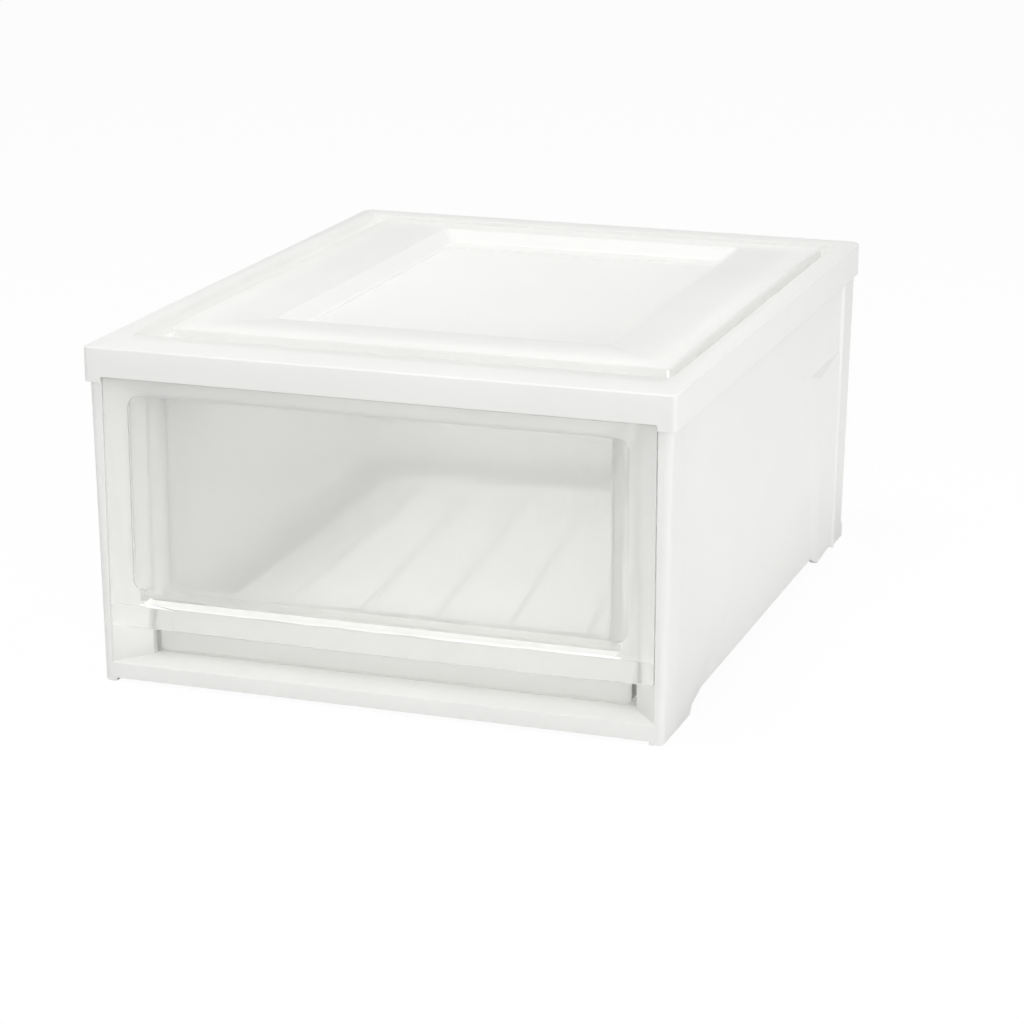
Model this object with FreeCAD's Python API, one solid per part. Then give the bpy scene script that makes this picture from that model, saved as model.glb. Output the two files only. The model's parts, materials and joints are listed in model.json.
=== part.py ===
import FreeCAD, Part
import math
import os

os.makedirs("parts", exist_ok=True)

# Stackable drawer box in millimetres.
# +Z is up, the front faces -Y, and the origin is the middle of the footprint on the ground.

# Overall size
width = 400.0
depth = 498.6
height = 228.6

# White moulded sheet
wall = 2.5                 # thickness of the white walls, floor and rims
over = 1.0                 # overrun of every cut
same_point = 0.000001      # points closer than this are one point
flatness = 0.01            # an edge this close to a plane lies in it

# Cap: skirt, rims, grooves and trough
skirt_height = 23.5        # from the seam to the rim
skirt_wall = 5.0           # bears on the top edge of the body walls
overhang = 2.5             # skirt outside the body
cap_front_radius = 4.0
cap_rear_radius = 8.0
rim_edge_radius = 1.4      # rounded outer edge of the rims
side_rim = 15.3
front_rim = 31.3
tread_length = 15.0        # low step behind the front rim
tread_drop = 1.0
tread_inset = 2.7          # tread ends short of the groove's outer wall
rear_rim = 19.3
groove_width = 10.0
groove_depth = 12.0
ledge_width = 15.0         # carries the edge of the top panel
fascia_lift = 3.9          # lower edge of the fascia above the seam, over the drawer

# Body walls
side_draft = 3.5           # the side walls lean in by this towards the ground
rear_draft = 3.5
body_front_radius = 5.0
body_rear_radius = 8.0
back_seam_inset = 12.0     # the back panel ends this far in from the top of the side walls

# Front surround
surround_length = 31.0     # from the front face to the back of the cheeks
post_face = 9.3            # width of a post's front face at the top
opening_radius = 1.5
cheek_start = 3.3          # depth of the straight pocket that takes the drawer front
cheek_length = 21.5        # length of the splay
cheek_splay = 19.2         # each cheek leans in by this
sill_top = 13.0
sill_lift = 2.3            # front face of the sill above the ground
corner_foot = 9.0          # width of a front corner foot

# Feet and lower edge of the side walls
foot_length = 61.8         # front foot, from the front face
foot_step = 4.0
foot_step_height = 5.5
foot_ramp = 23.0
foot_width = 12.0
rear_foot = 36.3           # rear foot, from the lower rear face
rear_foot_ramp = 13.0
pad_drop_length = 44.0     # lower edge of the rear pad
pad_edge_height = 4.3

# Raised pad and corner bead at the rear of each side wall
pad_ramp = 12.0            # front edge of the pad, where it rises from the wall
pad_rise = 2.4
pad_fall = 2.0             # the pad falls back by this towards the bead
pad_top = 155.0
pad_top_ramp = 5.0
pad_lean = 24.0            # the front edge of the pad leans forward by this at its top
bead_start = 45.0          # from the rear face at the top
bead_ramp = 2.5
bead_crest = 1.5
bead_rise = 2.0

# Base tray
rail_inset = 16.0          # middle of each runner rail inside the bin's wall
rail_width = 4.0
rail_clearance = 0.3       # running gap under the drawer

# Top panel
panel_drop = 2.5           # panel top below the rim
panel_wall = 2.2
trough_length = 30.0       # from the tread to the front wall of the panel
panel_front_radius = 10.0
panel_rear_radius = 1.0
panel_edge_radius = 1.2
panel_rear_gap = 0.3
window_side = 56.7         # panel between its edge and the window
window_front = 49.0
window_rear = 22.0
window_slope = 10.0
window_depth = 8.6
window_radius = 8.0
window_foot_radius = 2.5
plate_inset = 2.5          # thin plate in the window's floor, inside the foot of the slope
plate_ledge = 18.0         # flat between the rear slope and the plate
plate_drop = 0.7
plate_radius = 8.0

# Drawer front
front_wall = 2.5
front_gap = 0.8            # gap round the drawer front
front_low = 39.5           # lower edge of the pull lip
front_radius = 1.2
pane_wall = 2.2
pane_side_border = 17.4
pane_low = 65.0
pane_top_border = 10.3
pane_depth = 3.8           # pane behind the border
pane_radius = 8.0
grip_inset = 4.0           # ends of the scoop inside the sides of the pane
grip_shelf = 56.0          # top of the pull lip
grip_low = 57.5            # bottom of the scoop's slope
grip_end_radius = 6.0
grip_depth = 10.8
lip_bow = 2.5              # the lip bows forward by this at its middle
lip_edge_radius = 0.9
lip_crest_radius = 2.1
return_width = 2.2         # side and top returns between the front and the bin
return_low = 62.0

# Drawer bin
bin_wall = 2.0
bin_floor = 2.2
bin_low = 14.5
bin_high = 203.0
bin_setback = 24.8         # front wall of the bin behind the face of the body
bin_gap = 1.0              # between the bin's rim and the cheeks
bin_rim = 2.0
bin_rim_height = 3.0
bin_back_gap = 9.0         # between the bin and the back panel at the top
bin_front_radius = 6.5
bin_rear_radius = 42.0
bin_floor_radius = 4.0
floor_rib_count = 5
floor_rib_side = 46.0      # outer ribs inside the bin's wall
floor_rib_width = 1.6
floor_rib_height = 0.6
floor_rib_margin = 22.0    # rib ends short of the bin's end walls
ear_length = 2.5
ear_from_back = 70.0       # stop ears, from the back of the bin
ear_low = 40.0
ear_high = 150.0
ear_gap = 1.0              # between an ear and the side wall

# Places that follow from the sizes above
seam_z = height - skirt_height
body_top_half = width / 2 - overhang
body_low_half = body_top_half - side_draft
body_front = -depth / 2 + overhang
body_rear = depth / 2 - overhang
surround_back = body_front + surround_length
base_edge = sill_top - wall
opening_half = body_top_half - post_face
cheek_half = opening_half - cheek_splay
back_seam = body_top_half - back_seam_inset
groove_outer = width / 2 - side_rim
groove_inner = groove_outer - groove_width
ledge_top = height - groove_depth
tread_front = -depth / 2 + front_rim
trough_front = tread_front + tread_length
well_rear = depth / 2 - rear_rim
fascia_edge = seam_z + fascia_lift
panel_front = trough_front + trough_length
panel_rear = well_rear - panel_rear_gap
panel_top = height - panel_drop
front_half = opening_half - front_gap
front_high = fascia_edge - front_gap
skin_back = body_front + front_wall
pane_high = front_high - pane_top_border
pane_half = front_half - pane_side_border
grip_half = pane_half - grip_inset
bin_front = body_front + bin_setback
bin_back = body_rear - wall - bin_back_gap
bin_half = cheek_half - bin_gap
bin_wall_half = bin_half - bin_rim
rear_foot_front = body_rear - rear_draft - rear_foot
pad_back = rear_foot_front - rear_foot_ramp
pad_front = pad_back - pad_drop_length
rail_middle = bin_wall_half - rail_inset


def side_x(z):
    return body_low_half + side_draft * z / seam_z


def rear_y(z):
    return body_rear - rear_draft + rear_draft * z / seam_z


def in_plan(z):
    return lambda point: FreeCAD.Vector(point.x, point.y, z)


def in_side_view(x):
    return lambda point: FreeCAD.Vector(x, point.x, point.y)


def in_front_view(y):
    return lambda point: FreeCAD.Vector(point.x, y, point.y)


def rounded_wire(corners, place):
    # Each corner is (first coordinate, second coordinate, radius).
    turns = []
    for index, (first, second, radius) in enumerate(corners):
        corner = FreeCAD.Vector(first, second, 0)
        before = corners[index - 1]
        after = corners[(index + 1) % len(corners)]
        to_before = (FreeCAD.Vector(before[0], before[1], 0) - corner).normalize()
        to_after = (FreeCAD.Vector(after[0], after[1], 0) - corner).normalize()
        half_angle = to_before.getAngle(to_after) / 2
        reach = radius / math.tan(half_angle)
        start = corner + to_before * reach
        end = corner + to_after * reach
        inward = radius / math.sin(half_angle) - radius
        middle = corner
        if radius > 0:
            middle = corner + (to_before + to_after).normalize() * inward
        turns.append((start, middle, end, radius))
    edges = []
    for index, (start, middle, end, radius) in enumerate(turns):
        if radius > 0:
            edges.append(Part.Arc(place(start), place(middle), place(end)).toShape())
        following = turns[(index + 1) % len(turns)][0]
        if (following - end).Length > same_point:
            edges.append(Part.LineSegment(place(end), place(following)).toShape())
    return Part.Wire(edges)


def rectangle(low_a, high_a, low_b, high_b, low_radius, high_radius):
    return [(low_a, low_b, low_radius), (high_a, low_b, low_radius),
            (high_a, high_b, high_radius), (low_a, high_b, high_radius)]


def upright(corners, low, high):
    face = Part.Face(rounded_wire(corners, in_plan(low)))
    return face.extrude(FreeCAD.Vector(0, 0, high - low))


def across(corners, low, high):
    # A side-view outline run along X.
    face = Part.Face(rounded_wire(corners, in_side_view(low)))
    return face.extrude(FreeCAD.Vector(high - low, 0, 0))


def along(corners, low, high):
    # A front-view outline run along Y.
    face = Part.Face(rounded_wire(corners, in_front_view(low)))
    return face.extrude(FreeCAD.Vector(0, high - low, 0))


def drafted(outline_at, low, high):
    # A solid with flat sides between the outlines at two heights.
    bottom = [FreeCAD.Vector(x, y, low) for x, y in outline_at(low)]
    top = [FreeCAD.Vector(x, y, high) for x, y in outline_at(high)]
    underside = bottom[::-1]
    faces = [Part.Face(Part.makePolygon(loop + loop[:1])) for loop in (underside, top)]
    for index in range(len(bottom)):
        after = (index + 1) % len(bottom)
        loop = [bottom[index], bottom[after], top[after], top[index], bottom[index]]
        faces.append(Part.Face(Part.makePolygon(loop)))
    shell = Part.makeShell(faces)
    shell.sewShape()
    return Part.Solid(shell)


def edge_near(shape, point):
    return min(shape.Edges, key=lambda edge: (edge.CenterOfMass - point).Length)


def rounded_corner(solid, half_at, y_at, low, high, radius):
    # Rounds the upright edge whose place at each height is given.
    middle = (low + high) / 2
    for side in (-1, 1):
        x = side * half_at(middle)
        edge = edge_near(solid, FreeCAD.Vector(x, y_at(middle), middle))
        if (edge.CenterOfMass - FreeCAD.Vector(x, y_at(middle), middle)).Length < radius:
            solid = solid.makeFillet(radius, [edge])
    return solid


def box(low_x, high_x, low_y, high_y, low_z, high_z):
    corner = FreeCAD.Vector(low_x, low_y, low_z)
    return Part.makeBox(high_x - low_x, high_y - low_y, high_z - low_z, corner)


def joined(pieces):
    whole = pieces[0].fuse(pieces[1:])
    return whole.removeSplitter()


def mirrored(shape):
    return shape.mirror(FreeCAD.Vector(0, 0, 0), FreeCAD.Vector(1, 0, 0))


def edges_at(shape, coordinate, value):
    # Edges that lie wholly at one value of a coordinate, named as in a bounding box.
    found = []
    for edge in shape.Edges:
        bounds = edge.BoundBox
        low = getattr(bounds, coordinate + "Min")
        high = getattr(bounds, coordinate + "Max")
        if abs(low - value) < flatness and abs(high - value) < flatness:
            found.append(edge)
    return found


def save(name, shape):
    if not shape.isValid() or len(shape.Solids) != 1:
        print("look at", name, "valid", shape.isValid(), "solids", len(shape.Solids))
    shape.Solids[0].exportStep("parts/" + name + ".step")
    print(name, "solids", len(shape.Solids), "volume", round(shape.Volume / 1000, 1), "cm3")


def make_top_frame():
    outline = rectangle(-width / 2, width / 2, -depth / 2, depth / 2, cap_front_radius, cap_rear_radius)
    cap = upright(outline, seam_z, height)
    cap = cap.makeFillet(rim_edge_radius, edges_at(cap, "Z", height))
    well = box(-groove_outer, groove_outer, trough_front, well_rear, ledge_top, height + over)
    tread_half = groove_outer - tread_inset
    tread = box(-tread_half, tread_half, tread_front, trough_front + over, height - tread_drop, height + over)
    inner_half = groove_outer + wall
    channel_half = width / 2 - skirt_wall
    channel_end = depth / 2 - skirt_wall
    under_rims = box(-channel_half, channel_half, -channel_end, channel_end, seam_z - over, height - wall)
    core = box(-inner_half, inner_half, trough_front - wall, well_rear + wall, ledge_top - wall, height)
    under_rims = under_rims.cut(core)
    ledge_half = groove_inner - ledge_width
    hole = box(-ledge_half, ledge_half, panel_front + ledge_width, well_rear - ledge_width, seam_z, height)
    fascia = rectangle(-opening_half, opening_half, seam_z - over - opening_radius, fascia_edge,
                       0, opening_radius)
    fascia_cut = along(fascia, -depth / 2 - over, -channel_end + over)
    for cut in (well, tread, under_rims, hole, fascia_cut):
        cap = cap.cut(cut)
    return cap


def window_form(grow, low, high):
    # The sloped recess, grown outwards by the panel's wall for its outside.
    def outline_at(z):
        reach = grow - window_slope * (panel_top - z) / window_depth
        half = groove_inner - window_side + reach
        front = panel_front + window_front - reach
        rear = well_rear - window_rear + reach
        return [(-half, front), (half, front), (half, rear), (-half, rear)]
    form = drafted(outline_at, low, high)
    corners = [edge for edge in form.Edges if edge.BoundBox.ZLength > flatness]
    form = form.makeFillet(window_radius + grow, corners)
    return form.makeFillet(window_foot_radius + grow, edges_at(form, "Z", low))


def make_window_plate(floor_top):
    half = groove_inner - window_side - window_slope - plate_inset
    front = panel_front + window_front + window_slope + plate_inset
    rear = well_rear - window_rear - window_slope - plate_ledge
    outline = rectangle(-half, half, front, rear, plate_radius, plate_radius)
    return upright(outline, floor_top - plate_drop, floor_top + over)


def make_top_panel():
    outline = rectangle(-groove_inner, groove_inner, panel_front, panel_rear,
                        panel_front_radius, panel_rear_radius)
    panel = upright(outline, ledge_top, panel_top)
    panel = panel.makeFillet(panel_edge_radius, edges_at(panel, "Z", panel_top))
    inner = rectangle(-groove_inner + panel_wall, groove_inner - panel_wall,
                      panel_front + panel_wall, panel_rear - panel_wall, panel_wall, panel_wall)
    panel = panel.cut(upright(inner, ledge_top - over, panel_top - panel_wall))
    floor_top = panel_top - window_depth
    outside = window_form(panel_wall, floor_top - panel_wall, panel_top)
    inside = window_form(0, floor_top, panel_top + over)
    panel = panel.fuse(outside).cut(inside).cut(make_window_plate(floor_top))
    return panel.removeSplitter()


def surround_outline(z):
    half = side_x(z)
    return [(-half, body_front), (half, body_front), (half, surround_back), (-half, surround_back)]


def make_front_surround():
    block = drafted(surround_outline, 0, seam_z)
    block = rounded_corner(block, side_x, lambda z: body_front, 0, seam_z, body_front_radius)
    splay_front = body_front + cheek_start
    splay_back = splay_front + cheek_length
    opening = [(-opening_half, body_front - over, 0), (opening_half, body_front - over, 0),
               (opening_half, splay_front, 0), (cheek_half, splay_back, 0),
               (cheek_half, surround_back + over, 0), (-cheek_half, surround_back + over, 0),
               (-cheek_half, splay_back, 0), (-opening_half, splay_front, 0)]
    block = block.cut(upright(opening, sill_top, seam_z + over))
    # The posts are hollow behind the cheeks.
    post_inner = body_low_half - wall
    slope = cheek_length / cheek_splay
    line_x = opening_half + wall / math.sin(math.atan(slope))
    hollow = box(cheek_half + wall, post_inner, splay_front, surround_back + over, sill_top, seam_z + over)
    behind = [(line_x + over, splay_front - over * slope, 0),
              (cheek_half, splay_front + (line_x - cheek_half) * slope, 0),
              (cheek_half, splay_front - over * slope, 0)]
    hollow = hollow.cut(upright(behind, sill_top - over, seam_z + wall))
    # The sill is a channel open below, between the corner feet.
    foot_inner = body_low_half - corner_foot
    channel = box(-foot_inner, foot_inner, body_front + wall, surround_back + over, -over, base_edge)
    under_front = box(-foot_inner, foot_inner, body_front - over, surround_back + over, -over, sill_lift)
    for cut in (hollow, mirrored(hollow), channel, under_front):
        block = block.cut(cut)
    return block


def side_outline(z):
    outer = side_x(z)
    rear = rear_y(z)
    bead = body_rear - bead_start
    crest = bead + bead_ramp
    crest_end = crest + bead_crest
    return [(outer - wall, surround_back), (outer, surround_back), (outer, bead), (outer + bead_rise, crest),
            (outer + bead_rise, crest_end), (outer, crest_end + bead_ramp), (outer, rear),
            (back_seam, rear), (back_seam, rear - wall), (outer - wall, rear - wall)]


def pad_outline(z):
    # The ramp and the pad's face are flat, and they meet at the crest.
    outer = side_x(z)
    start = pad_front - pad_ramp - pad_lean * z / pad_top
    end = body_rear - bead_start + bead_ramp
    rise_slope = pad_rise / pad_ramp
    fall_slope = pad_fall / (end - pad_front)
    crest = (pad_rise + fall_slope * pad_front + rise_slope * start) / (rise_slope + fall_slope)
    return [(outer - wall / 2, start), (outer, start), (outer + rise_slope * (crest - start), crest),
            (outer + pad_rise - pad_fall, end), (outer - wall / 2, end)]


def make_side_panel():
    panel = drafted(side_outline, 0, seam_z)
    panel = rounded_corner(panel, side_x, rear_y, 0, seam_z, body_rear_radius)
    panel = rounded_corner(panel, lambda z: side_x(z) - wall, lambda z: rear_y(z) - wall, 0, seam_z,
                           body_rear_radius - wall)
    pad = drafted(pad_outline, 0, seam_z)
    top_ramp = [(0, 0, 0), (width / 2, 0, 0), (width / 2, pad_top - pad_top_ramp, 0),
                (side_x(pad_top), pad_top, 0), (0, pad_top, 0)]
    pad = pad.common(along(top_ramp, -depth, depth))
    # Solid blocks inside the walls make the feet.
    foot_inner = side_x(0) - foot_width
    rear_end = body_rear - rear_draft - wall
    front_block = box(foot_inner, side_x(0), surround_back, body_front + foot_length, 0, base_edge)
    rear_block = box(foot_inner, side_x(0), rear_foot_front, rear_end, 0, base_edge)
    panel = joined([panel, pad, front_block, rear_block])
    foot_end = body_front + foot_length
    below = [(foot_end, -over, 0), (foot_end, 0, 0), (foot_end + foot_step, foot_step_height, 0),
             (foot_end + foot_step + foot_ramp, base_edge, 0), (pad_front - pad_ramp, base_edge, 0),
             (pad_front, pad_edge_height, 0), (pad_back, pad_edge_height, 0),
             (rear_foot_front, 0, 0), (rear_foot_front, -over, 0)]
    return panel.cut(across(below, 0, width))


def back_outline(z):
    rear = rear_y(z)
    return [(-back_seam, rear - wall), (back_seam, rear - wall), (back_seam, rear), (-back_seam, rear)]


def make_back_panel():
    return drafted(back_outline, base_edge, seam_z)


def floor_outline(z):
    half = side_x(z) - wall
    rear = rear_y(z) - wall
    return [(-half, surround_back), (half, surround_back), (half, rear), (-half, rear)]


def make_base_tray():
    floor = drafted(floor_outline, base_edge, sill_top)
    floor = rounded_corner(floor, lambda z: side_x(z) - wall, lambda z: rear_y(z) - wall,
                           base_edge, sill_top, body_rear_radius - wall)
    rails = []
    rail_end = bin_back - bin_floor_radius
    for side in (-1, 1):
        middle = side * rail_middle
        rails.append(box(middle - rail_width / 2, middle + rail_width / 2, surround_back, rail_end,
                         sill_top, bin_low - rail_clearance))
    return joined([floor] + rails)


def bin_form(inset, low, high):
    outline = rectangle(-bin_wall_half + inset, bin_wall_half - inset, bin_front + inset, bin_back - inset,
                        bin_front_radius - inset, bin_rear_radius - inset)
    form = upright(outline, low, high)
    return form.makeFillet(bin_floor_radius, edges_at(form, "Z", low))


def make_drawer_bin():
    rim_outline = rectangle(-bin_half, bin_half, bin_front, bin_back + bin_rim,
                            bin_front_radius, bin_rear_radius + bin_rim)
    rim = upright(rim_outline, bin_high - bin_rim_height, bin_high)
    ears = []
    ear_front = bin_back - ear_from_back
    ear_reach = side_x(ear_low) - wall - ear_gap
    for side in (-1, 1):
        low_x, high_x = sorted((side * (bin_wall_half - bin_wall), side * ear_reach))
        ears.append(box(low_x, high_x, ear_front, ear_front + ear_length, ear_low, ear_high))
    solid = joined([bin_form(0, bin_low, bin_high), rim] + ears)
    solid = solid.cut(bin_form(bin_wall, bin_low + bin_floor, bin_high + over))
    ribs = []
    outer_rib = bin_wall_half - floor_rib_side
    for index in range(floor_rib_count):
        middle = outer_rib * (2 * index / (floor_rib_count - 1) - 1)
        ribs.append(box(middle - floor_rib_width / 2, middle + floor_rib_width / 2,
                        bin_front + floor_rib_margin, bin_back - floor_rib_margin,
                        bin_low + bin_floor / 2, bin_low + bin_floor + floor_rib_height))
    return joined([solid] + ribs)


def bowed_plate(front_shift, back_edges, low, high):
    # A plate whose front follows the lip's bow, moved back by the shift.
    ends = body_front + front_shift
    left = FreeCAD.Vector(-front_half, ends, low)
    middle = FreeCAD.Vector(0, ends - lip_bow, low)
    right = FreeCAD.Vector(front_half, ends, low)
    edges = [Part.Arc(left, middle, right).toShape()] + back_edges(left, right)
    face = Part.Face(Part.Wire(edges))
    return face.extrude(FreeCAD.Vector(0, 0, high - low))


def parallel_back(left, right):
    back = FreeCAD.Vector(0, front_wall, 0)
    middle = FreeCAD.Vector(0, body_front - lip_bow, left.z)
    return [Part.LineSegment(right, right + back).toShape(),
            Part.Arc(right + back, middle + back, left + back).toShape(),
            Part.LineSegment(left + back, left).toShape()]


def straight_back(left, right):
    back_y = body_front + grip_depth + pane_wall
    back_left = FreeCAD.Vector(left.x, back_y, left.z)
    back_right = FreeCAD.Vector(right.x, back_y, right.z)
    return [Part.LineSegment(right, back_right).toShape(),
            Part.LineSegment(back_right, back_left).toShape(),
            Part.LineSegment(back_left, left).toShape()]


def make_lip():
    lip = bowed_plate(0, parallel_back, front_low, grip_shelf)
    lip = lip.makeFillet(lip_edge_radius, [edge for edge in edges_at(lip, "Z", front_low)
                                           if edge.Length > front_half])
    crest = [edge for edge in edges_at(lip, "Z", grip_shelf)
             if edge.Length > front_half and edge.BoundBox.YMin < body_front - lip_bow / 2]
    return lip.makeFillet(lip_crest_radius, crest)


def make_shelf():
    # The top of the pull lip runs back to the scoop.
    shelf = bowed_plate(lip_crest_radius, straight_back, grip_shelf - pane_wall, grip_shelf)
    reach = grip_half + pane_wall
    return shelf.common(box(-reach, reach, -depth, depth, 0, height))


def make_drawer_front():
    plate = along(rectangle(-front_half, front_half, front_low, front_high, 0, front_radius),
                  body_front, skin_back)
    plate = plate.cut(box(-front_half - over, front_half + over, body_front - over, skin_back + over,
                          front_low - over, grip_shelf))
    pane_view = rectangle(-pane_half, pane_half, pane_low, pane_high, pane_radius, pane_radius)
    cover_radius = pane_radius + pane_wall
    cover_view = rectangle(-pane_half - pane_wall, pane_half + pane_wall,
                           pane_low - pane_wall, pane_high + pane_wall, cover_radius, cover_radius)
    pane_face = body_front + pane_depth
    pane_cover = along(cover_view, skin_back - over, pane_face + pane_wall)
    # The scoop falls back from the pane to the shelf that is the top of the pull lip.
    deep = body_front + grip_depth
    scoop = [(body_front - lip_bow - over, pane_low, 0), (pane_face, pane_low, 0), (deep, grip_low, 0),
             (deep, grip_shelf, 0), (body_front - lip_bow - over, grip_shelf, 0)]
    scoop_cover = [(skin_back - over, pane_low + pane_wall, 0),
                   (pane_face + pane_wall, pane_low + pane_wall, 0),
                   (deep + pane_wall, grip_low + pane_wall, 0),
                   (deep + pane_wall, grip_shelf - pane_wall, 0),
                   (skin_back, grip_shelf - pane_wall, 0)]
    cover = across(scoop_cover, -grip_half - pane_wall, grip_half + pane_wall)
    high = bin_high - bin_rim_height
    flat_half = bin_wall_half - bin_front_radius
    returns = [box(-flat_half, flat_half, skin_back - over, bin_front, high - return_width, high)]
    for side in (-1, 1):
        low_x, high_x = sorted((side * flat_half, side * (flat_half - return_width)))
        returns.append(box(low_x, high_x, skin_back - over, bin_front, return_low, high))
    front = joined([plate, make_lip(), make_shelf(), pane_cover, cover] + returns)
    front = front.cut(along(pane_view, body_front - over, pane_face))
    scoop_view = rectangle(-grip_half, grip_half, grip_shelf, pane_low + over, grip_end_radius, 0)
    scoop_solid = across(scoop, -grip_half, grip_half)
    front = front.cut(scoop_solid.common(along(scoop_view, -depth, deep + over)))
    # Beyond the scoop the lip's rounding runs out into the flat border.
    ends = []
    for side in (-1, 1):
        low_x, high_x = sorted((side * grip_half, side * front_half))
        ends.append(box(low_x, high_x, body_front, skin_back,
                        grip_shelf - lip_crest_radius, grip_shelf + over))
    return joined([front] + ends)


save("top_frame", make_top_frame())
save("top_panel", make_top_panel())
save("front_surround", make_front_surround())
right_panel = make_side_panel()
save("right_side_panel", right_panel)
save("left_side_panel", mirrored(right_panel))
save("back_panel", make_back_panel())
save("base_tray", make_base_tray())
save("drawer_bin", make_drawer_bin())
save("drawer_front", make_drawer_front())
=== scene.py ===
import bmesh
import bpy
import json
import math
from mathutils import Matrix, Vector


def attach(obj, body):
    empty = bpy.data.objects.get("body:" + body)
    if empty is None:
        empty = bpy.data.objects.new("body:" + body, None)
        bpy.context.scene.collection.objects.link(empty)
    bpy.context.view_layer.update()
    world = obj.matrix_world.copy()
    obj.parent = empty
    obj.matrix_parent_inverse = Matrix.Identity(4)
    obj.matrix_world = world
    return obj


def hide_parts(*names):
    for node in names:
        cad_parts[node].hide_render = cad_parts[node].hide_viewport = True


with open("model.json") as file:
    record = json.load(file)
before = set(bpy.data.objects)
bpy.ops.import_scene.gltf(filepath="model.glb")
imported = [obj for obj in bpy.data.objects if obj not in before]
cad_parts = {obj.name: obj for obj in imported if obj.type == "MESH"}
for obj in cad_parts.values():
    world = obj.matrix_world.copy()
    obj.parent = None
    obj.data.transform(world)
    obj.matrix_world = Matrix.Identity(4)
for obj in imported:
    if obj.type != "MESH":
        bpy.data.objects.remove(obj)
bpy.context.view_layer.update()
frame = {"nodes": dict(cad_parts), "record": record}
scene = bpy.context.scene
millimetre = 0.001


def srgb(hexText):
    # one sRGB hex colour as the linear colour that a shader takes
    values = [int(hexText[place:place + 2], 16) / 255 for place in (1, 3, 5)]
    linear = [value / 12.92 if value <= 0.04045 else ((value + 0.055) / 1.055) ** 2.4 for value in values]
    return (*linear, 1.0)


def addNode(tree, kind, settings=None, inputs=None):
    node = tree.nodes.new(kind)
    for name, value in (settings or {}).items():
        setattr(node, name, value)
    for name, value in (inputs or {}).items():
        if isinstance(value, bpy.types.NodeSocket):
            tree.links.new(value, node.inputs[name])
        else:
            node.inputs[name].default_value = value
    return node


def newMaterial(name):
    material = bpy.data.materials.new(name)
    material.use_nodes = True
    material.node_tree.nodes.clear()
    return material, material.node_tree


def finishMaterial(tree, surface):
    addNode(tree, "ShaderNodeOutputMaterial", inputs={"Surface": surface})


# camera: where the photograph was taken from
cameraView = {
    "place": (0.704, -2.011, 0.693),
    "heading": 19.08,       # degrees to the left of +Y
    "dip": 16.38,           # degrees below level
    "lens": 109.3,
    "sensor": 36.0,
}


def makeCamera():
    data = bpy.data.cameras.new("camera")
    data.lens = cameraView["lens"]
    data.sensor_width = cameraView["sensor"]
    camera = bpy.data.objects.new("camera", data)
    camera.location = cameraView["place"]
    camera.rotation_euler = (math.radians(90 - cameraView["dip"]), 0, math.radians(cameraView["heading"]))
    scene.collection.objects.link(camera)
    scene.camera = camera


makeCamera()
print("camera set")


# every plastic here is a polypropylene, and each material's name ends in that
polypropyleneIor = 1.49
noiseDetail = {"grain": 2.0, "wave": 1.0}


def mouldedBump(tree, look):
    # what the mould leaves: a fine grain and a slow waviness of the wall
    place = addNode(tree, "ShaderNodeTexCoord").outputs["Object"]
    grain = addNode(tree, "ShaderNodeTexNoise", inputs={
        "Vector": place, "Scale": 1 / look["grainSize"], "Detail": noiseDetail["grain"]})
    wave = addNode(tree, "ShaderNodeTexNoise", inputs={
        "Vector": place, "Scale": 1 / look["waveSize"], "Detail": noiseDetail["wave"]})
    slow = addNode(tree, "ShaderNodeBump", inputs={
        "Height": wave.outputs["Fac"], "Distance": look["waveHeight"], "Strength": 1.0})
    fine = addNode(tree, "ShaderNodeBump", inputs={
        "Height": grain.outputs["Fac"], "Distance": look["grainHeight"], "Strength": 1.0,
        "Normal": slow.outputs["Normal"]})
    return grain.outputs["Fac"], wave.outputs["Fac"], fine.outputs["Normal"]


def between(tree, factor, low, high):
    # a value that runs from low to high with the factor
    ranged = addNode(tree, "ShaderNodeMapRange", inputs={"Value": factor, "To Min": low, "To Max": high})
    return ranged.outputs["Result"]


def blendColours(tree, factor, first, second):
    # inputs 6 and 7 and output 2 are the colour sockets of a Mix node
    mix = addNode(tree, "ShaderNodeMix", {"data_type": "RGBA"}, {0: factor, 6: srgb(first), 7: srgb(second)})
    return mix.outputs[2]


def mixShaders(tree, factor, first, second):
    return addNode(tree, "ShaderNodeMixShader", inputs={0: factor, 1: first, 2: second}).outputs["Shader"]


def passLight(tree, surface, share):
    # lets that share of the lamps' light through each face, so that the inside isn't in full shadow
    path = addNode(tree, "ShaderNodeLightPath")
    clear = addNode(tree, "ShaderNodeBsdfTransparent", inputs={"Color": (share, share, share, 1)})
    return mixShaders(tree, path.outputs["Is Shadow Ray"], surface, clear.outputs["BSDF"])


# white polypropylene, injection moulded in a fine-eroded mould:
# a soft satin white whose long walls wave a little
whiteShell = {
    "pale": "#F9F9F7",
    "deep": "#F5F5F3",
    "roughness": (0.38, 0.50),
    "through": 0.12,        # a thin white wall still lets some light in
    "shadowPass": 0.35,     # share of the lamps' light that passes each face
    "grainSize": 0.9 * millimetre,      # real grain is near 0.1 mm, so it is drawn coarser to show
    "grainHeight": 0.006 * millimetre,
    "waveSize": 70 * millimetre,
    "waveHeight": 0.25 * millimetre,
}
# milky polypropylene, injection moulded with less white in it: glows where light stands behind it
milkyPanel = {
    "pale": "#F2F2F1",
    "deep": "#EFEFEE",
    "roughness": (0.30, 0.40),
    "through": 0.40,
    "shadowPass": 0.95,
    "grainSize": 1.1 * millimetre,      # coarser than the real grain, to show
    "grainHeight": 0.004 * millimetre,
    "waveSize": 90 * millimetre,
    "waveHeight": 0.3 * millimetre,
}
# painted light: the floor of the window is the same plastic, painted paler to stand in for the light that it
# lets through and gives back
milkyWindowPaintedLight = {**milkyPanel, "pale": "#F6F6F5", "deep": "#F4F4F3"}


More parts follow.
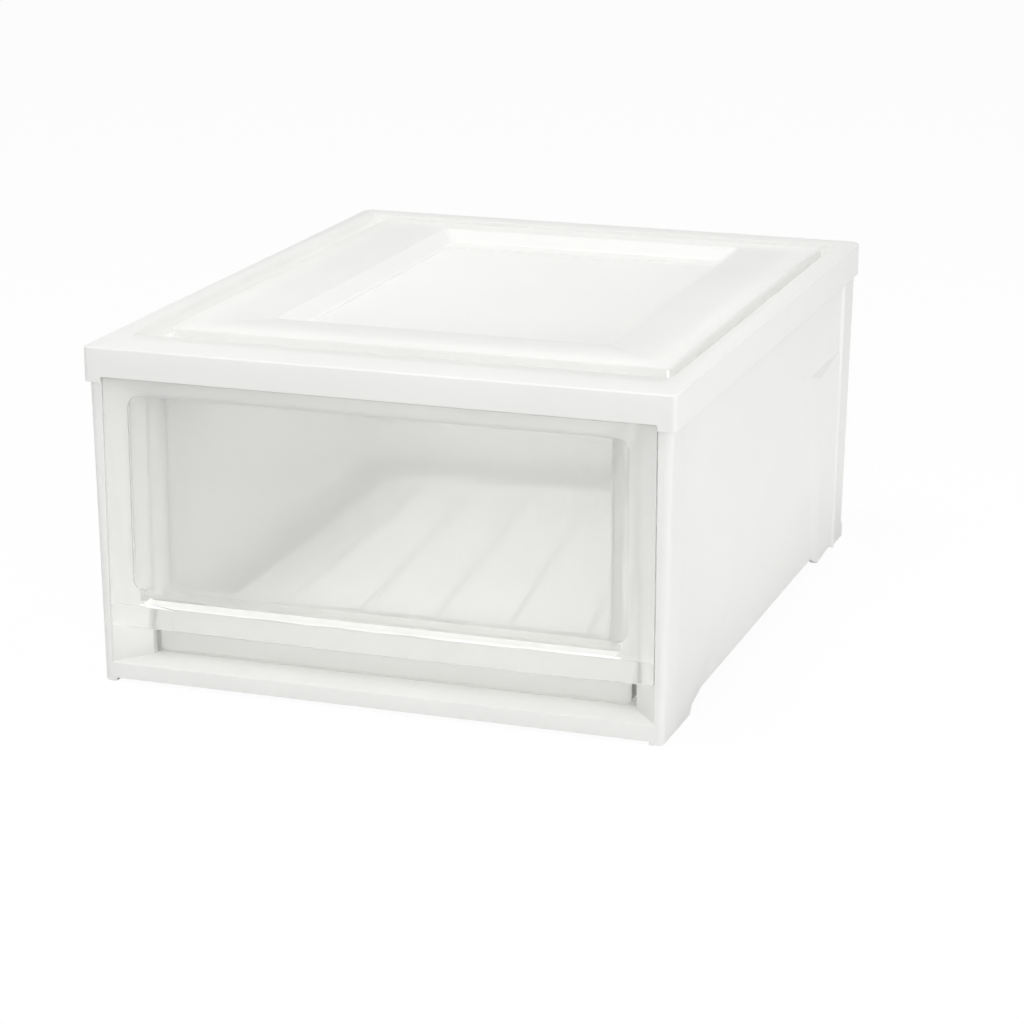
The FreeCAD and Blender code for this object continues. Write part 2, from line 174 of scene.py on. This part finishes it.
def makeMilkyPlastic(name, look):
    material, tree = newMaterial(name + "Polypropylene")
    grain, wave, normal = mouldedBump(tree, look)
    colour = blendColours(tree, wave, look["deep"], look["pale"])
    surface = addNode(tree, "ShaderNodeBsdfPrincipled", inputs={
        "Base Color": colour, "Roughness": between(tree, grain, *look["roughness"]),
        "IOR": polypropyleneIor, "Normal": normal})
    glow = addNode(tree, "ShaderNodeBsdfTranslucent", inputs={"Color": colour, "Normal": normal})
    milky = mixShaders(tree, look["through"], surface.outputs["BSDF"], glow.outputs["BSDF"])
    finishMaterial(tree, passLight(tree, milky, look["shadowPass"]))
    return material


# natural polypropylene, finely frosted:
# it scatters part of the light, so what is behind it shows soft and pale
frosted = {
    "tint": "#FEFEFD",
    "hazeColour": "#FCFCFA",
    "shadowPass": 1.0,
    "grainSize": 0.8 * millimetre,      # coarser than the real frosting, to show
    "grainHeight": 0.004 * millimetre,
    "waveSize": 55 * millimetre,
    "waveHeight": 0.2 * millimetre,
}
frostings = {
    # name: (share of the light that the face scatters, how much of that goes through, shine,
    #        roughness from and to)
    "frostedFront": (0.44, 0.12, 0.5, (0.08, 0.12)),
    "frostedInside": (0.04, 0.15, 0.5, (0.08, 0.12)),
    "frostedBorder": (0.62, 0.12, 0.5, (0.10, 0.14)),
    "frostedEdge": (0.85, 0.15, 0.5, (0.20, 0.26)),
    # painted highlight: the ledge scatters all its light and lets none through, so it shows white, with a
    # doubled shine
    "frostedLedgePaintedHighlight": (1.00, 0.0, 1.0, (0.20, 0.24)),
    "clearBin": (0.04, 0.35, 0.5, (0.03, 0.05)),
    "frostedSkirt": (0.80, 0.45, 0.5, (0.20, 0.26)),
    "frostedWall": (0.60, 0.30, 0.5, (0.09, 0.13)),
    "frostedFloor": (0.76, 0.25, 0.5, (0.09, 0.13)),
    "clearBinEdge": (0.60, 0.35, 0.5, (0.12, 0.16)),
}
# painted shade: the bin's walls are painted greyer towards the floor of the bin, where shade falls in the
# corner
wallRootPaintedShade = {
    "plastic": "frostedWall",
    "colour": "#AEAEAB",
    "low": 18.0 * millimetre,       # heights above the ground
    "high": 64.0 * millimetre,
}


def paintedRootShade(tree):
    # the haze colour of a wall, which changes with the height: darker towards the floor as painted shade
    place = addNode(tree, "ShaderNodeTexCoord").outputs["Object"]
    height = addNode(tree, "ShaderNodeSeparateXYZ", inputs={"Vector": place}).outputs["Z"]
    rise = addNode(tree, "ShaderNodeMapRange", {"interpolation_type": "SMOOTHSTEP"}, {
        "Value": height, "From Min": wallRootPaintedShade["low"], "From Max": wallRootPaintedShade["high"]})
    return blendColours(tree, rise.outputs["Result"], wallRootPaintedShade["colour"], frosted["hazeColour"])


def makeFrostedPlastic(name, haze, through, shine, roughness):
    material, tree = newMaterial(name + "Polypropylene")
    grain, wave, normal = mouldedBump(tree, frosted)
    rough = between(tree, grain, *roughness)
    # the bin's wall plastic takes the painted shade, greyer towards the floor
    colour = paintedRootShade(tree) if name == wallRootPaintedShade["plastic"] else srgb(frosted["hazeColour"])
    clear = addNode(tree, "ShaderNodeBsdfPrincipled", inputs={
        "Base Color": srgb(frosted["tint"]), "Roughness": rough, "IOR": polypropyleneIor,
        "Transmission Weight": 1.0, "Normal": normal})
    cloud = addNode(tree, "ShaderNodeBsdfPrincipled", inputs={
        "Base Color": colour, "Roughness": rough, "IOR": polypropyleneIor, "Specular IOR Level": shine,
        "Normal": normal})
    glow = addNode(tree, "ShaderNodeBsdfTranslucent", inputs={"Color": colour, "Normal": normal})
    scattered = mixShaders(tree, through, cloud.outputs["BSDF"], glow.outputs["BSDF"])
    surface = mixShaders(tree, haze, clear.outputs["BSDF"], scattered)
    finishMaterial(tree, passLight(tree, surface, frosted["shadowPass"]))
    return material


plastics = {name: makeFrostedPlastic(name, *look) for name, look in frostings.items()}
for name, look in {"white": whiteShell, "milky": milkyPanel, "milkyWindowPaintedLight": milkyWindowPaintedLight}.items():
    plastics[name] = makeMilkyPlastic(name, look)
print("materials made")


# each moulding keeps its solid's form and gets the small rounded edges that a mould leaves;
# steps are the bevel's segments
allWhite = ["white"] * 3
allMilky = ["milky"] * 3
mouldings = {
    # node: (piece, plastics of its outside, inside and edges, record slot, edge radius in mm, steps)
    "top_frame": ("cap", allWhite, "white_shell", 0.4, 3),
    "top_panel": ("topPanel", allMilky, "milky_panel", 0.3, 2),
    "front_surround": ("frontSurround", allWhite, "white_shell", 0.5, 3),
    "left_side_panel": ("leftWall", allWhite, "white_shell", 0.3, 2),
    "right_side_panel": ("rightWall", allWhite, "white_shell", 0.3, 2),
    "back_panel": ("backWall", allWhite, "white_shell", 0.4, 2),
    "base_tray": ("baseTray", allWhite, "white_shell", 0.4, 2),
    "drawer_bin": (
        "drawerBin", ["clearBin", "frostedWall", "clearBinEdge"], "frosted_drawer", 0.3, 2),
    "drawer_front": (
        "drawerFront", ["frostedFront", "frostedInside", "frostedEdge"], "frosted_front", 0.5, 3),
}
softening = {
    "mergeDistance": 0.002 * millimetre,
    "flatAngle": math.radians(0.4),     # faces that turn less than this become one
    "edgeAngle": math.radians(32),      # edges that turn more than this are rounded
    "smoothAngle": math.radians(30),    # edges that turn less than this are shaded smooth
    "seamReach": 0.05 * millimetre,     # how near an edge lies to a flush seam
    "sameWay": 0.5,     # cosine of the widest angle at which a face still looks the given way
}
# places of the plastics on a moulding: outside, inside, edges, then the faces of their own plastic
outsidePlace, insidePlace, edgePlace, ownPlace = range(4)
# where two walls of the body meet flush, the edges stay sharp so that no groove shows: (axis, place in mm)
flushSeams = [(1, -215.8), (0, 185.5), (0, -185.5)]
# faces of their own plastic:
# (plastic, way that they look, lowest and highest corner of a box round their middles in mm)
specialFaces = {
    # painted highlight: the ledge above the pull lip scatters all its light, so it shows as a bright line;
    # its stronger shine catches the lamps
    "drawer_front": [("frostedLedgePaintedHighlight", (0, 0, 1), (-200, -260, 53.8), (200, -200, 57)),
                     # the border round the pane is hazier than the pane
                     ("frostedBorder", (0, -1, 0), (-200, -260, 60), (200, -245, 250))],
    # the floor of the window, the palest part of the panel, painted paler as painted light
    "top_panel": [("milkyWindowPaintedLight", (0, 0, 1), (-200, -250, 216), (200, 250, 218))],
    # below the lip the front of the bin is frosted, and above it it is clear, so that the inside shows
    "drawer_bin": [("frostedSkirt", (0, -1, 0), (-200, -260, 0), (200, -200, 46)),
                   ("clearBin", (0, 1, 0), (-200, -260, 0), (200, -200, 250)),
                   ("frostedFloor", (0, 0, 1), (-200, -260, 0), (200, 250, 30))],
}
# the bin's walls are split at the height where its frosted skirt ends, in mm
splitHeights = {"drawer_bin": 46.0}
# a face that looks towards the drawer's middle is an inside face: place in mm
drawerMiddle = (0.0, 0.0, 110.0)


def isFlush(edge):
    for axis, place in flushSeams:
        if all(abs(vertex.co[axis] - place * millimetre) < softening["seamReach"] for vertex in edge.verts):
            return True
    return False


def softenedMesh(node):
    # the solid's mesh, merged, with every edge that a mould would round marked for the bevel
    mesh = frame["nodes"][node].data.copy()
    mesh.materials.clear()
    work = bmesh.new()
    work.from_mesh(mesh)
    bmesh.ops.remove_doubles(work, verts=work.verts, dist=softening["mergeDistance"])
    bmesh.ops.dissolve_limit(work, angle_limit=softening["flatAngle"], verts=work.verts, edges=work.edges)
    if node in splitHeights:
        bmesh.ops.bisect_plane(work, geom=work.verts[:] + work.edges[:] + work.faces[:],
                               plane_co=(0, 0, splitHeights[node] * millimetre), plane_no=(0, 0, 1))
    weights = work.edges.layers.float.new("bevel_weight_edge")
    for edge in work.edges:
        sharp = len(edge.link_faces) == 2 and edge.calc_face_angle(0) > softening["edgeAngle"]
        edge[weights] = 1.0 if sharp and not isFlush(edge) else 0.0
    middle = Vector(drawerMiddle) * millimetre
    for face in work.faces:
        face.smooth = True
        centre = face.calc_center_median()
        face.material_index = insidePlace if face.normal.dot(middle - centre) > 0 else outsidePlace
        for index, (_, way, low, high) in enumerate(specialFaces.get(node, [])):
            inBox = all(low[axis] < centre[axis] / millimetre < high[axis] for axis in range(3))
            if inBox and face.normal.dot(Vector(way)) > softening["sameWay"]:
                face.material_index = ownPlace + index
    work.to_mesh(mesh)
    work.free()
    return mesh


def finish(moulding, piece, body):
    # puts the modifiers' result in place, then hands the piece to its body
    depsgraph = bpy.context.evaluated_depsgraph_get()
    finished = bpy.data.meshes.new_from_object(moulding.evaluated_get(depsgraph))
    moulding.modifiers.clear()
    moulding.data = finished
    finished.name = piece
    finished.set_sharp_from_angle(angle=softening["smoothAngle"])
    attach(moulding, body)


def makeMoulding(node, piece, ownPlastics, slot, radius, steps):
    mesh = softenedMesh(node)
    for plastic in ownPlastics + [special[0] for special in specialFaces.get(node, [])]:
        mesh.materials.append(plastics[plastic])
    moulding = bpy.data.objects.new(piece, mesh)
    scene.collection.objects.link(moulding)
    bevel = moulding.modifiers.new("mouldEdges", "BEVEL")
    bevel.limit_method = "WEIGHT"
    bevel.width = radius * millimetre
    bevel.segments = steps
    bevel.material = edgePlace
    bevel.use_clamp_overlap = True
    body = [name for name, nodes in frame["record"]["behaviour"]["bodies"].items() if node in nodes][0]
    finish(moulding, piece, body)
    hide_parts(node)


for node, moulding in mouldings.items():
    makeMoulding(node, *moulding)
    print("moulded", node)


# the ribs on the floor of the drawer: rounded bars in a row, which geometry nodes set out
floorRibs = {
    "Count": 5,
    "Spacing": 60 * millimetre,
    "Length": 413 * millimetre,
    "Radius": 0.7 * millimetre,
    "Sides": 16,
    "Start": (-120 * millimetre, 6.7 * millimetre, 16.8 * millimetre),     # middle of the left rib
    # the ribs take the wall's plastic, so its painted shade at the root draws them as darker lines
    "Plastic": plastics["frostedWall"],
}


def makeRibTree():
    tree = bpy.data.node_groups.new("floorRibs", "GeometryNodeTree")
    for name, kind in (("Count", "Int"), ("Spacing", "Float"), ("Length", "Float"), ("Radius", "Float"),
                       ("Sides", "Int"), ("Start", "Vector"), ("Plastic", "Material")):
        tree.interface.new_socket(name, in_out="INPUT", socket_type="NodeSocket" + kind)
    tree.interface.new_socket("Geometry", in_out="OUTPUT", socket_type="NodeSocketGeometry")
    given = addNode(tree, "NodeGroupInput").outputs
    half = addNode(tree, "ShaderNodeMath", {"operation": "MULTIPLY"}, {0: given["Length"], 1: 0.5})
    rearward = addNode(tree, "ShaderNodeCombineXYZ", inputs={"Y": half.outputs["Value"]})
    forward = addNode(tree, "ShaderNodeVectorMath", {"operation": "SCALE"}, {
        "Vector": rearward.outputs["Vector"], "Scale": -1.0})
    line = addNode(tree, "GeometryNodeCurvePrimitiveLine", inputs={
        "Start": forward.outputs["Vector"], "End": rearward.outputs["Vector"]})
    ring = addNode(tree, "GeometryNodeCurvePrimitiveCircle", inputs={
        "Resolution": given["Sides"], "Radius": given["Radius"]})
    bar = addNode(tree, "GeometryNodeCurveToMesh", inputs={
        "Curve": line.outputs["Curve"], "Profile Curve": ring.outputs["Curve"], "Fill Caps": True})
    step = addNode(tree, "ShaderNodeCombineXYZ", inputs={"X": given["Spacing"]})
    row = addNode(tree, "GeometryNodeMeshLine", inputs={
        "Count": given["Count"], "Start Location": given["Start"], "Offset": step.outputs["Vector"]})
    placed = addNode(tree, "GeometryNodeInstanceOnPoints", inputs={
        "Points": row.outputs["Mesh"], "Instance": bar.outputs["Mesh"]})
    real = addNode(tree, "GeometryNodeRealizeInstances", inputs={"Geometry": placed.outputs["Instances"]})
    dyed = addNode(tree, "GeometryNodeSetMaterial", inputs={
        "Geometry": real.outputs["Geometry"], "Material": given["Plastic"]})
    addNode(tree, "NodeGroupOutput", inputs={"Geometry": dyed.outputs["Geometry"]})
    return tree


def makeFloorRibs():
    ribs = bpy.data.objects.new("floorRibs", bpy.data.meshes.new("floorRibs"))
    scene.collection.objects.link(ribs)
    nodes = ribs.modifiers.new("setOut", "NODES")
    nodes.node_group = makeRibTree()
    for socket in nodes.node_group.interface.items_tree:
        if socket.in_out == "INPUT":
            nodes[socket.identifier] = floorRibs[socket.name]
    finish(ribs, "floorRibs", "drawer")


makeFloorRibs()
print("ribs set out")


# studio: a pale floor, a white surround and soft lights
studio = {
    "floorHalf": 6.0,
    "floorColour": "#F6F6F6",
    "surround": 0.45,       # strength that lights the box, while the surround itself shows white
    "paperWhite": 0.95,     # share of the floor that shows as plain white paper, the rest takes the shadow
}
lamps = {
    # name: (place, size, power, aimed at)
    "key": ((0.9, -2.2, 1.7), 1.2, 19.5, (0, 0, 0.1)),
    "above": ((-0.4, -0.45, 2.5), 1.0, 26.0, (0, 0, 0.1)),
    "side": ((2.7, 0.2, 1.1), 1.4, 20.5, (0, 0, 0.1)),
}


def makeFloor():
    half = studio["floorHalf"]
    mesh = bpy.data.meshes.new("floor")
    corners = [(-half, -half, 0), (half, -half, 0), (half, half, 0), (-half, half, 0)]
    mesh.from_pydata(corners, [], [(0, 1, 2, 3)])
    floor = bpy.data.objects.new("floor", mesh)
    scene.collection.objects.link(floor)
    material, tree = newMaterial("paleFloor")
    path = addNode(tree, "ShaderNodeLightPath")
    looks = addNode(tree, "ShaderNodeMath", {"operation": "MAXIMUM"}, {
        0: path.outputs["Is Camera Ray"], 1: path.outputs["Is Transmission Ray"]})
    share = addNode(tree, "ShaderNodeMath", {"operation": "MULTIPLY"}, {
        0: looks.outputs["Value"], 1: studio["paperWhite"]})
    paint = addNode(tree, "ShaderNodeBsdfDiffuse", inputs={"Color": srgb(studio["floorColour"])})
    paper = addNode(tree, "ShaderNodeEmission", inputs={"Strength": 1.0})
    pale = mixShaders(tree, share.outputs["Value"], paint.outputs["BSDF"], paper.outputs["Emission"])
    finishMaterial(tree, pale)
    mesh.materials.append(material)


def makeSurround():
    world = bpy.data.worlds.new("surround")
    scene.world = world
    world.use_nodes = True
    tree = world.node_tree
    tree.nodes.clear()
    path = addNode(tree, "ShaderNodeLightPath")
    looks = addNode(tree, "ShaderNodeMath", {"operation": "MAXIMUM"}, {
        0: path.outputs["Is Camera Ray"], 1: path.outputs["Is Transmission Ray"]})
    strength = addNode(tree, "ShaderNodeMapRange", inputs={
        "Value": looks.outputs["Value"], "To Min": studio["surround"], "To Max": 1.0})
    light = addNode(tree, "ShaderNodeBackground", inputs={
        "Color": (1, 1, 1, 1), "Strength": strength.outputs["Result"]})
    addNode(tree, "ShaderNodeOutputWorld", inputs={"Surface": light.outputs["Background"]})


def makeLamp(name, place, size, power, target):
    data = bpy.data.lights.new(name, "AREA")
    data.size = size
    data.energy = power
    lamp = bpy.data.objects.new(name, data)
    lamp.location = place
    lamp.rotation_euler = (Vector(target) - Vector(place)).to_track_quat("-Z", "Y").to_euler()
    scene.collection.objects.link(lamp)


makeFloor()
makeSurround()
for name, lamp in lamps.items():
    makeLamp(name, *lamp)
scene.view_settings.view_transform = "Standard"
print("studio set")
